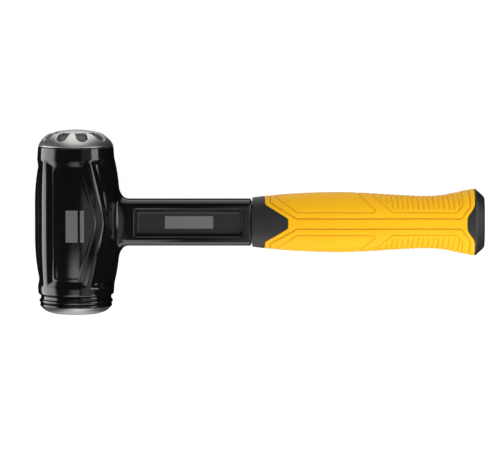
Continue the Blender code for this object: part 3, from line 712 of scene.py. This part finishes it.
def place_crown(row, turn):
    """Points of the crown plug. A row is (radius, height)."""
    radius, y = row.T
    top = crown_high.y - CROWN_DOME
    beyond = (y - top + radius - CROWN_SHOULDER) * math.sqrt(0.5)
    room = POCKET_DEPTH + np.clip(np.where(radius < CROWN_SHOULDER, beyond, 0), -POCKET_DEPTH, 0)
    deep = pocket_mask(radius, y, turn) * (y > casing_high.y + 1) * np.clip(room / 0.5, 0, 1)
    sunk = np.minimum(POCKET_DEPTH * deep, room) * math.sqrt(0.5)
    out = radius - sunk
    return out * np.sin(turn), y - sunk, out * np.cos(turn), deep


def build_crown(steel):
    """The crown plug: bare steel cone with nine round pockets around a gently domed face."""
    seat = casing_high.y + GAP
    top = crown_high.y - CROWN_DOME
    base = crown_high.x
    inner = crown_low.y
    rows = [(PLUG_RADIUS * share, inner) for share in (0.3, 0.7)]
    rows += [(PLUG_RADIUS - 0.9, inner), (PLUG_RADIUS, inner + 0.9)]
    rows += [(PLUG_RADIUS, seat), (base - 0.3, seat), (base - 0.05, seat + 0.15), (base, seat + 0.4)]
    rows += bulged((base, seat + 0.4), (CROWN_SHOULDER, top), 48)
    for radius in spread((CROWN_SHOULDER, 22), (CROWN_SHOULDER - 5.0, 14), (0.6, 1))[1:]:
        rows.append((radius, top + CROWN_DOME * (1 - (radius / CROWN_SHOULDER) ** 2)))
    turns = np.linspace(0, 2 * math.pi, 360, endpoint=False)
    bm = skin(rows, turns, place_crown)
    return add_piece("crown_face", bm, "hammer", ["crown_plug"], steel, 50.0)


STRIKER_FACE = 14.0          # radius of the plug's flat ground face
STRIKER_EDGE = 0.35          # width of the break around it
GROOVE_INSET = 0.9           # the turned grooves' floors, inside the ring's outer radius
BEAD = 0.9                   # how far each of the two black beads stands out of its groove


def build_striker(steel):
    """The striking plug: a turned groove and ring in black, a bare cone and face below them."""
    seat = casing_low.y - GAP
    face = striker_low.y
    ring = striker_high.x
    rows = [(PLUG_RADIUS * share, striker_high.y, 0) for share in (0.3, 0.7)]
    rows += [(PLUG_RADIUS - 0.9, striker_high.y, 0), (PLUG_RADIUS, striker_high.y - 0.9, 0)]
    rows += [(PLUG_RADIUS, seat, 0), (ring - 1.4, seat, 1), (ring - 0.95, seat - 0.15, 1)]
    rows += [(ring - GROOVE_INSET, y, 1) for y in spread((seat - 0.3, 4), (seat - 2.0, 1))]
    for step in range(13):
        turn = math.radians(-90 + 180 * step / 12)
        rows.append((
            ring - GROOVE_INSET + BEAD * math.cos(turn), seat - 3.3 - 1.2 * math.sin(turn), 1
        ))
    rows += [(ring - 0.95, seat - 4.6, 1), (ring - 1.15, seat - 4.75, 1)]
    for step in range(9):
        turn = math.radians(-90 + 140 * step / 8)
        rows.append((ring - 1.3 + BEAD * math.cos(turn), seat - 5.9 - 1.1 * math.sin(turn), 1))
    cone_end = (STRIKER_FACE + 0.6, face + 0.25)
    rows += [(*point, 0) for point in bulged(rows[-1][:2], cone_end, 16)]
    rows += [(STRIKER_FACE + STRIKER_EDGE, face + 0.06, 0), (STRIKER_FACE, face, 0)]
    rows += [(STRIKER_FACE * (1 - step / 12), face, 0) for step in range(1, 12)]

    def place(row, turn):
        radius, y, black = row.T
        return radius * np.sin(turn), y, radius * np.cos(turn), black

    turns = np.linspace(0, 2 * math.pi, 192, endpoint=False)
    bm = skin(rows, turns, place)
    return add_piece("striking_face", bm, "hammer", ["striking_plug"], steel)


# ---------------------------------------------------------------- handle

FLAT_HALF = 10.0             # columns keep a fixed height on the broad sides up to here


def quarter_columns():
    """Columns of one quarter of the grip: heights on the broad side, then 10 + share to the edge."""
    flat = spread((0.0, 5), (2.3, 10), (4.1, 5), (6.2, 6), (8.2, 4), (FLAT_HALF, 1))
    edge = spread((0.0, 20), (1.0, 1))
    return [(value, 0.0) for value in flat] + [(FLAT_HALF, value) for value in edge[1:]]


def grip_columns():
    """(height, edge share, side of y, side of z) of every column all the way round."""
    quarter = quarter_columns()
    upper = [(a, b, 1, 1) for a, b in quarter] + [(a, b, 1, -1) for a, b in quarter[-2::-1]]
    lower = [(a, b, -1, -1) for a, b in quarter[1:]] + [(a, b, -1, 1) for a, b in quarter[-2:0:-1]]
    return upper + lower


def grip_sizes(x):
    """Half height and half thickness of the grip's outline at x."""
    share = (x - GRIP_START) / GRIP_LENGTH
    return smooth_table(GRIP_OUTLINE, 1, share), smooth_table(GRIP_OUTLINE, 2, share)


def grip_point(x, column, shrink=0.0, scale=1.0):
    """(y, z) on the grip's oval and the outward direction there."""
    height, edge, side_y, side_z = column.T
    half, thick = grip_sizes(x)
    power = GRIP_POWER
    flat = np.clip(height / half, 0, 1)
    flat_depth = (1 - flat**power) ** (1 / power)
    start = np.arctan2(flat, flat_depth)
    turn = start + (math.pi / 2 - start) * edge
    size = (np.abs(np.cos(turn)) ** power + np.abs(np.sin(turn)) ** power) ** (-1 / power)
    y, z = size * np.sin(turn), size * np.clip(np.cos(turn), 0, 1)
    out_y, out_z = y ** (power - 1) / half, z ** (power - 1) / thick
    length = np.hypot(out_y, out_z)
    y_mm = side_y * (half * scale * y - shrink * out_y / length)
    z_mm = side_z * (thick * scale * z - shrink * out_z / length)
    return y_mm, z_mm, side_y * out_y / length, side_z * out_z / length


def seam_x(y, edge_x, tongue, tip_x, round_off=0.5):
    """Where a seam with a tongue runs at height y of the broad side."""
    (wide, wide_x), (narrow, narrow_x) = tongue
    slant = wide_x + (wide - np.abs(y)) * (narrow_x - wide_x) / (wide - narrow)
    side = 1 if tip_x > edge_x else -1
    outer = -least(round_off, -side * slant, np.full_like(y, -side * edge_x))
    return side * least(round_off, outer, np.full_like(y, side * tip_x))


def collar_seam(y):
    """The seam between the black collar and the yellow sleeve."""
    return seam_x(y, COLLAR_EDGE, COLLAR_TONGUE, COLLAR_TIP)


def cap_seam(y):
    """The seam between the yellow sleeve and the black end cap."""
    return seam_x(y, CAP_EDGE, CAP_TONGUE, CAP_TONGUE[1][1])


def segment_distance(x, y, start, end):
    """Distance in the plane of the broad side to one straight stretch."""
    ax, ay = start
    bx, by = end
    length = (bx - ax) ** 2 + (by - ay) ** 2
    share = np.clip(((x - ax) * (bx - ax) + (y - ay) * (by - ay)) / length, 0, 1)
    return np.hypot(x - ax - share * (bx - ax), y - ay - share * (by - ay))


# Grooves of the sleeve as lines through points (x, height), the same on both sides of its middle
INNER_LINE = ((121.3, 24.0), (120.9, 12.9), (137.5, 3.2), (239.5, 3.2), (245.1, 11.0), (244.2, 24.0))
FRONT_PANEL = ((121.0, 18.3), (137.8, 7.2), (185.0, 7.1), (186.4, 8.6), (173.0, 20.4))
REAR_PANEL = ((182.6, 19.3), (197.1, 7.2), (236.4, 7.0), (240.4, 11.2), (239.7, 24.0))
LONG_GROOVE = (0.42, 0.55, 0.85)     # half width, depth and painted shade of each kind of groove
PANEL_GROOVE = (0.36, 0.42, 0.55)
RIB_GROOVE = (0.50, 0.50, 0.45)
RIB_FIRST = 190.8            # x of the first finger rib's groove
RIB_PITCH = 3.18
RIBS = 16
RIB_LEAN = 0.13              # how far the grooves lean forward for each millimetre of height
RIB_LEAN_FROM = 9.0
RIB_LOW = 8.9                # height that the grooves start at
RIB_LAST_X = 241.0


def line_distance(x, y, points):
    """Distance to a line through points."""
    return np.minimum.reduce([
        segment_distance(x, y, start, end) for start, end in zip(points, points[1:])
    ])


def sleeve_relief(x, y):
    """(depth, painted shade) of the sleeve's grooves at each point of its broad sides."""
    height = np.abs(y)
    inner = np.exp(-(line_distance(x, height, INNER_LINE) / LONG_GROOVE[0]) ** 2)
    front = np.exp(-(line_distance(x, height, FRONT_PANEL) / PANEL_GROOVE[0]) ** 2)
    rear = np.exp(-(line_distance(x, height, REAR_PANEL) / PANEL_GROOVE[0]) ** 2)
    along = x + RIB_LEAN * (height - RIB_LEAN_FROM) - RIB_FIRST
    number = np.clip(np.rint(along / RIB_PITCH), 0, RIBS - 1)
    away = np.abs(along - number * RIB_PITCH)
    (top_x, top), (bottom_x, bottom) = REAR_PANEL[:2]
    panel_front = (x - top_x) * (bottom - top) / (bottom_x - top_x) + top
    inside = np.minimum(height - RIB_LOW, (height - panel_front - 2.0) * 0.7)
    corner = np.clip(REAR_PANEL[3][1] - height, 0, 5)
    inside = np.minimum(inside, (RIB_LAST_X - x - corner) * 0.8)
    ribs = np.exp(-(away / RIB_GROOVE[0]) ** 2) * np.clip(inside / 0.6, 0, 1)
    panels = np.maximum(front, rear)
    depth = LONG_GROOVE[1] * inner + PANEL_GROOVE[1] * panels + RIB_GROOVE[1] * ribs
    # painted shade: how much darker each groove is drawn
    dark = np.clip(LONG_GROOVE[2] * inner + PANEL_GROOVE[2] * panels + RIB_GROOVE[2] * ribs, 0, 1)
    return depth, dark


SEAM_ROUND = 0.45            # radius of the mouldings' edges along their seams


def seam_drop(distance):
    """How far a moulding's edge rounds over at a distance from its seam."""
    near = np.clip(SEAM_ROUND - distance, 0, SEAM_ROUND)
    return SEAM_ROUND - np.sqrt(np.clip(SEAM_ROUND**2 - near**2, 0, None))


def solve_seam(seam, column):
    """x of a seam on each column."""
    x = np.full(len(column), 120.0 if seam is collar_seam else 247.0)
    for _ in range(12):
        y, _, _, _ = grip_point(x, column)
        x = 0.5 * x + 0.5 * seam(y)
    return x


def place_sleeve(row, index):
    """Points of the yellow sleeve. A row is (share between its seams, how far inside)."""
    share, inside = row.T
    table = np.array(grip_columns(), float)
    starts, ends = solve_seam(collar_seam, table), solve_seam(cap_seam, table)
    index = index.astype(int)
    column = table[index]
    start, end = starts[index], ends[index]
    x = start + (end - start) * share
    y, z, out_y, out_z = grip_point(x, column)
    # dark is the grooves' painted shade, passed on as the mask
    depth, dark = sleeve_relief(x, y)
    drop = depth + seam_drop(x - start) + seam_drop(end - x) + inside
    drop = np.where(inside > 0, inside, drop)
    return x, y - out_y * drop, z - out_z * drop, dark * (inside == 0)


def build_sleeve(rubber):
    """The soft yellow sleeve with its long grooves and finger ribs."""
    shares = spread((0.0, 4), (0.012, 378), (0.988, 4), (1.0, 1))
    rows = [(share, 0.0) for share in shares]
    inner = SLEEVE_WALL - GAP
    rows += [(1.0, 1.2)] + [(share, inner) for share in spread((1.0, 40), (0.0, 1))] + [(0.0, 1.2)]
    columns = range(len(grip_columns()))
    bm = skin(rows, columns, place_sleeve, ring=True)
    return add_piece(
        "sleeve_moulding", bm, "hammer", ["grip_sleeve"], rubber, 60.0
    )


def place_core(row, index):
    """Points of the nylon core. A row is (kind, share or x, inset)."""
    kind, along, inset = row.T
    table = np.array(grip_columns(), float)
    ends = solve_seam(collar_seam, table) - 0.05
    index = index.astype(int)
    column, end = table[index], ends[index]
    x = np.where(kind == 0, GRIP_START + (end - GRIP_START) * along, along)
    x = np.where(kind == 1, end, x)
    y, z, out_y, out_z = grip_point(x, column)
    drop = np.where(kind == 0, seam_drop(end - x) + seam_drop(x - GRIP_START) + inset, inset)
    return x, y - out_y * drop, z - out_z * drop, 0 * x


def build_core(nylon):
    """The black nylon core: the collar and its tongues outside, the rest inside the sleeve."""
    rows = [(0, share, 0.0) for share in spread((0.0, 6), (0.04, 40), (0.94, 6), (1.0, 1))]
    rows = [(0, 0.0, 1.6), (0, 0.0, 0.8)] + rows
    rows += [(1, 0.0, 1.2), (1, 0.0, SLEEVE_WALL)]
    rows += [(2, x, SLEEVE_WALL) for x in spread((COLLAR_TIP + 1.5, 24), (core_high.x, 1))]
    columns = range(len(grip_columns()))
    bm = skin(rows, columns, place_core)
    return add_piece("collar_and_core", bm, "hammer", ["handle_core"], nylon, 50.0)


def place_cap(row, index):
    """Points of the end cap. A row is (kind, share or x, scale or inset)."""
    kind, along, size = row.T
    table = np.array(grip_columns(), float)
    starts = solve_seam(cap_seam, table) + 0.05
    index = index.astype(int)
    column, start = table[index], starts[index]
    x = np.where(kind == 0, start + (CHAMFER_START - start) * along, along)
    x = np.where(kind == 1, start, x)
    outline_x = np.minimum(x, CHAMFER_START)
    y, z, out_y, out_z = grip_point(outline_x, column)
    drop = np.where(kind == 0, seam_drop(x - start), 0.0) + np.where(kind == 1, size, 0.0)
    scale = np.where(kind == 2, size, 1.0)
    return x, (y - out_y * drop) * scale, (z - out_z * drop) * scale, 0 * x


def build_cap(nylon):
    """The hard black end cap with its chamfered tail."""
    rows = [(1, 0.0, 3.6), (1, 0.0, 1.4)]
    rows += [(0, share, 0.0) for share in spread((0.0, 6), (0.2, 10), (1.0, 1))]
    for (x0, s0), (x1, s1) in zip(CHAMFER, CHAMFER[1:]):
        for step in range(1, 5):
            rows.append((2, x0 + (x1 - x0) * step / 4, s0 + (s1 - s0) * step / 4))
    last = CHAMFER[-1][1]
    rows += [(2, TAIL_END, last * share) for share in (0.8, 0.5, 0.2)]
    columns = range(len(grip_columns()))
    bm = skin(rows, columns, place_cap)
    return add_piece("tail_cap", bm, "hammer", ["end_cap"], nylon, 50.0)


# ---------------------------------------------------------------- inside the head and the handle


def repaint(node, mat):
    """Gives a CAD node that stays as it is its finished material."""
    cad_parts[node].material_slots[0].material = mat


def build_shot(steel):
    """Rolled steel shot, each ball a little out of round, in its own place in the charge."""
    for number in range(1, SHOTS + 1):
        node = f"shot_{number:02d}"
        low, high = box_mm(node)
        middle = (low + high) / 2
        radius = (high.y - low.y) / 2
        bm = bmesh.new()
        bmesh.ops.create_icosphere(bm, subdivisions=4, radius=radius)
        for vert in bm.verts:
            wave = math.sin(2.1 * vert.co.x + number) * math.sin(1.7 * vert.co.y + 2 * number)
            vert.co *= 1 - SHOT_UNEVEN * (1 + wave) / radius
        bmesh.ops.translate(bm, vec=middle, verts=bm.verts)
        add_piece(f"ball_{number:02d}", bm, "shot_charge", [node], steel)


def paint_inner_parts():
    """Finishes for the parts inside, which keep their CAD shape."""
    tube = plain_metal("drawn_tube_steel", "#8c8c90", "#a8a8aa", 1.2, 0.42)
    spring = plain_metal("blued_spring_steel", "#4a4d55", "#6c6f76", 0.8, 0.34)
    urethane = cast_urethane()
    for node in ("canister_tube", "canister_lid_crown", "canister_lid_striking"):
        repaint(node, tube)
    for node in ("crown_lock_wire", "striking_lock_wire"):
        repaint(node, spring)
    for node in ("front_cross_pin", "rear_cross_pin", "cap_cross_pin"):
        repaint(node, spring)
    for node in ("bumper_pad_crown", "bumper_pad_striking"):
        repaint(node, urethane)


# ---------------------------------------------------------------- stage


def build_floor():
    """A plain pale floor that takes soft shadows and throws no light back at the hammer."""
    bm = bmesh.new()
    bmesh.ops.create_grid(bm, x_segments=1, y_segments=1, size=6.0)
    mesh = bpy.data.meshes.new("floor")
    bm.to_mesh(mesh)
    bm.free()
    floor = bpy.data.objects.new("floor", mesh)
    scene.collection.objects.link(floor)
    mat = new_material(
        "pale_paper", Base_Color=(0.22, 0.22, 0.22, 1.0), Roughness=0.9, Specular_IOR_Level=0.0,
        Emission_Color=(1.0, 1.0, 1.0, 1.0), Emission_Strength=0.90,
    )[0]
    mesh.materials.append(mat)
    floor.visible_glossy = False
    floor.visible_diffuse = False
    floor.visible_shadow = False


def softbox(name, x_angles, y_angles, distance, strength, soft=(0.0, 0.0, 0.0, 0.0)):
    """A card of light seen from the head between two angles each way, in degrees from straight up.

    soft gives the share of its width over which it fades in at its four edges: low x, high x,
    low y, high y.
    """
    turn_x, turn_y = (math.radians(sum(pair) / 2) for pair in (x_angles, y_angles))
    half_x = distance * math.tan(math.radians(x_angles[1] - x_angles[0]) / 2)
    half_y = distance * math.tan(math.radians(y_angles[1] - y_angles[0]) / 2)
    bm = bmesh.new()
    bmesh.ops.create_grid(bm, x_segments=1, y_segments=1, size=1.0)
    bmesh.ops.scale(bm, vec=(half_x, half_y, 1.0), verts=bm.verts)
    mesh = bpy.data.meshes.new(name)
    bm.to_mesh(mesh)
    bm.free()
    card = bpy.data.objects.new(name, mesh)
    scene.collection.objects.link(card)
    aim = Matrix.Rotation(turn_x, 4, "Y") @ Matrix.Rotation(-turn_y, 4, "X")
    card.matrix_world = Matrix.Translation(CENTRE) @ aim @ Matrix.Translation((0, 0, distance))
    card.visible_camera = False
    mat = bpy.data.materials.new(name)
    mat.use_nodes = True
    tree = mat.node_tree
    tree.nodes.clear()
    coords = add_node(tree, "ShaderNodeTexCoord").outputs["Object"]
    across = add_node(tree, "ShaderNodeSeparateXYZ", {"Vector": coords})
    glow = strength
    for axis, half, low, high in (("X", half_x, soft[0], soft[1]), ("Y", half_y, soft[2], soft[3])):
        for start, share, side in ((-half, low, 1), (half, high, -1)):
            if share:
                edge = add_node(tree, "ShaderNodeMapRange", {
                    "Value": across.outputs[axis], "From Min": start,
                    "From Max": start + side * share * 2 * half,
                }, interpolation_type="SMOOTHSTEP")
                glow = add_node(tree, "ShaderNodeMath", {
                    0: edge.outputs["Result"], 1: glow,
                }, operation="MULTIPLY").outputs[0]
    emission = add_node(tree, "ShaderNodeEmission", {"Strength": glow})
    output = add_node(tree, "ShaderNodeOutputMaterial")
    tree.links.new(emission.outputs[0], output.inputs["Surface"])
    mesh.materials.append(mat)
    return card


def build_light():
    """Soft boxes around the hammer in a dark room with pale walls that only the camera sees."""
    softbox("left_softbox", (-125, -58), (-45, 26), 0.8, 4.2, (0.0, 0.25, 0.25, 0.3))
    softbox("right_softbox", (36, 72), (-10, 32), 0.8, 4.2, (0.35, 0.0, 0.15, 0.3))
    softbox("crown_softbox", (-38, 38), (55, 160), 0.8, 1.4, (0.35, 0.35, 0.1, 0.2))
    softbox("striker_softbox", (-20, 26), (-150, -84), 0.8, 1.0, (0.4, 0.4, 0.2, 0.05))
    softbox("front_softbox", (-25, 60), (-84, -4), 0.8, 2.9, (0.35, 0.1, 0.02, 0.37))
    softbox("fill_card", (12, 50), (-50, 25), 0.3, 0.75, (0.35, 0.15, 0.2, 0.5))
    overhead = softbox("overhead_diffuser", (-45, 45), (-28, 52), 1.2, 0.6)
    overhead.visible_glossy = False
    world = bpy.data.worlds.new("pale_room")
    scene.world = world
    world.use_nodes = True
    world.node_tree.nodes["Background"].inputs["Color"].default_value = (1.0, 1.0, 1.0, 1.0)
    for ray in ("diffuse", "glossy", "transmission", "scatter"):
        setattr(world.cycles_visibility, ray, False)


def build_camera():
    """A long lens above the broad side, leaning a little towards the crown."""
    target = CENTRE + Vector((108.5, -5.6, 0)) * MM
    lean = math.radians(4.7)
    distance = 3.0
    width = 0.3118
    data = bpy.data.cameras.new("camera")
    data.sensor_width = 36.0
    data.lens = data.sensor_width * distance / width
    camera = bpy.data.objects.new("camera", data)
    camera.location = target + distance * Vector((0, math.sin(lean), math.cos(lean)))
    camera.rotation_euler = (-lean, 0, 0)
    scene.collection.objects.link(camera)
    scene.camera = camera
    scene.view_settings.view_transform = "Standard"


# ---------------------------------------------------------------- everything


def build_all():
    """Builds the stage and every piece."""
    build_camera()
    build_light()
    build_floor()
    enamel = gloss_enamel()
    nylon = moulded_nylon()
    build_barrel(enamel)
    build_shank(enamel)
    build_crown(ground_steel())
    build_striker(turned_steel())
    build_sleeve(moulded_rubber())
    build_core(nylon)
    build_cap(nylon)
    build_shot(plain_metal("rolled_shot_steel", "#85878c", "#a4a6aa", 1.5, 0.28))
    paint_inner_parts()


build_all()
